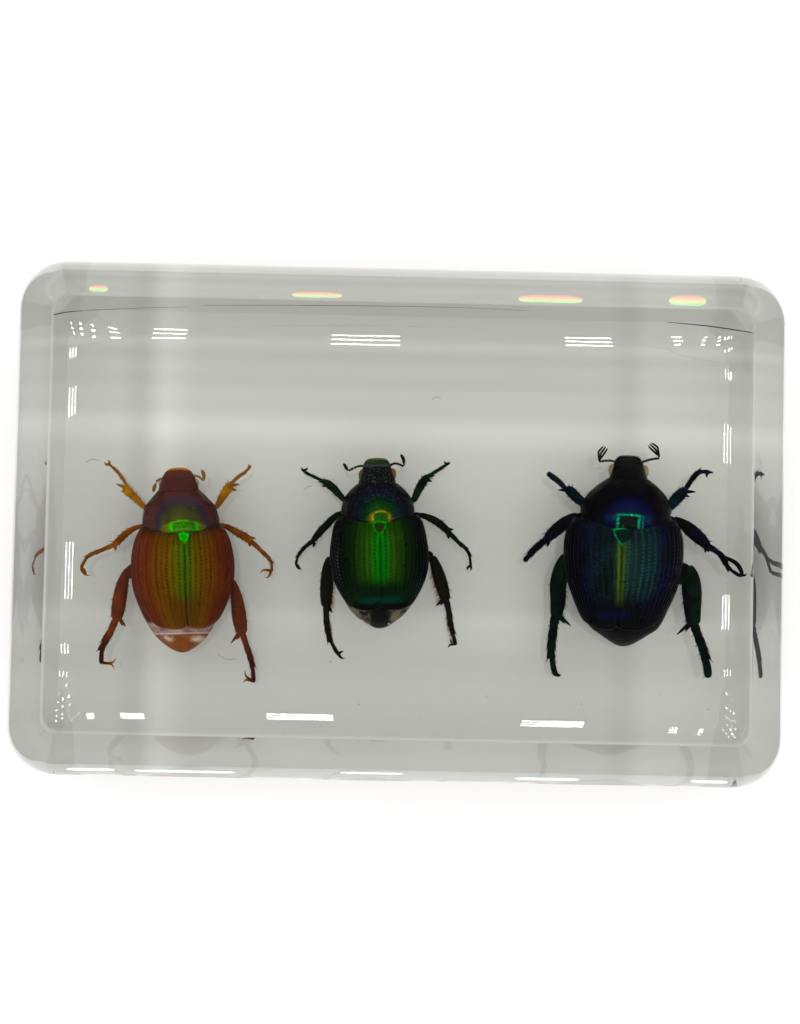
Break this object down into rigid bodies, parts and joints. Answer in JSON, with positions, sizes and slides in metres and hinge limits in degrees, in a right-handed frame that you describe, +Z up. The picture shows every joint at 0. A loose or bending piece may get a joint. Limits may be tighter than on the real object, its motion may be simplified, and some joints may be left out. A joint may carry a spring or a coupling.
{
  "type": "insect in resin block",
  "caption": "Clear bevelled resin block that lies flat and holds chafer beetles with their legs spread, for display or as a paperweight.",
  "frame": {"origin": "centre of the flat underside that the block rests on", "axes": "+X along the block's length, +Y across it towards the beetles' heads, +Z up out of the polished top face"},
  "size_m": [0.09, 0.06, 0.024],
  "materials": {
    "clear_resin": "polished clear casting resin",
    "amber_shell": "glossy amber-brown beetle shell with a green sheen along the back",
    "green_shell": "glossy dark green beetle shell, near black at the sides",
    "blue_shell": "glossy blue-black beetle shell with teal glints"
  },
  "bodies": {
    "root": {"resin_lower": "clear_resin", "resin_upper": "clear_resin", "amber_chafer": "amber_shell", "green_chafer": "green_shell", "blue_chafer": "blue_shell"}
  },
  "joints": []
}
